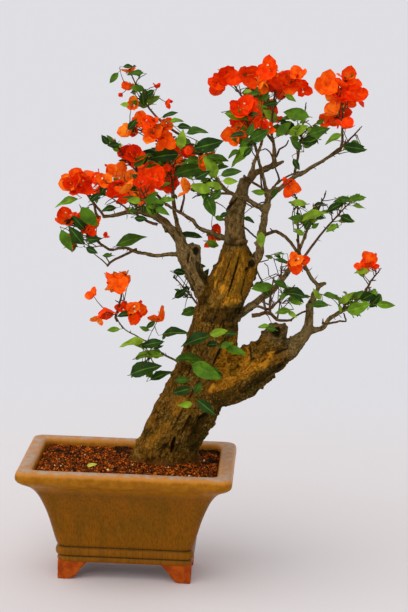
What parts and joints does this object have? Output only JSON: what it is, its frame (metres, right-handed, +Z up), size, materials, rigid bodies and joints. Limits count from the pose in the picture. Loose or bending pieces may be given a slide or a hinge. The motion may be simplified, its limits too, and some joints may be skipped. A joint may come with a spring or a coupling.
{
  "type": "bougainvillea bonsai",
  "caption": "Leaning bougainvillea bonsai with an old tapered trunk, spreading boughs and orange bracts, growing in a glazed rectangular pot on bracket feet.",
  "frame": {"origin": "centre of the plan outline on the ground, under the pot's feet", "axes": "+Z up, +X along the pot's length towards the side the trunk leans to, +Y to the back, so -Y is the front"},
  "size_m": [0.6917, 0.3896, 0.9777],
  "materials": {
    "pot_glaze": "glossy streaked ochre glaze",
    "bare_clay": "matt unglazed clay",
    "soil": "rough grit",
    "bark": "rough flaky bark",
    "deadwood": "bare weathered wood",
    "foliage": "soft leaf",
    "blossom": "papery bract"
  },
  "bodies": {
    "root": {"bough_apex": "bark", "bough_arch": "bark", "bough_back_left": "bark", "bough_back_right": "bark", "bough_back_top": "bark", "bough_far_right": "bark", "bough_left": "bark", "bough_left_high": "bark", "bough_left_low": "bark", "bough_low": "bark", "bough_right": "bark", "bough_right_low": "bark", "bough_right_mid": "bark", "bough_right_tip": "bark", "bough_shoot": "bark", "bough_top": "bark", "mass_back_high": "foliage", "mass_back_left": "foliage", "mass_back_low": "foliage", "mass_back_right": "foliage", "mass_back_top": "foliage", "mass_centre_front": "foliage", "mass_front_left": "foliage", "mass_front_right": "foliage", "mass_inner": "foliage", "mass_left": "foliage", "mass_left_far": "foliage", "mass_left_inner": "foliage", "mass_left_low": "foliage", "mass_left_top": "foliage", "mass_low_blossom": "foliage", "mass_low_leaves": "foliage", "mass_right_crest": "foliage", "mass_right_low": "foliage", "mass_right_mid": "foliage", "mass_right_out": "foliage", "mass_right_reach": "foliage", "mass_right_tip": "foliage", "mass_right_top": "foliage", "mass_shoot_base": "foliage", "mass_shoot_low": "foliage", "mass_shoot_tip": "foliage", "mass_top": "foliage", "mass_top_front": "foliage", "mass_top_left": "foliage", "mass_top_right": "foliage", "mass_trunk_back": "foliage", "mass_trunk_front": "foliage", "pot": "pot_glaze", "soil": "soil", "stub_right": "bark", "trunk": "bark"}
  },
  "joints": []
}
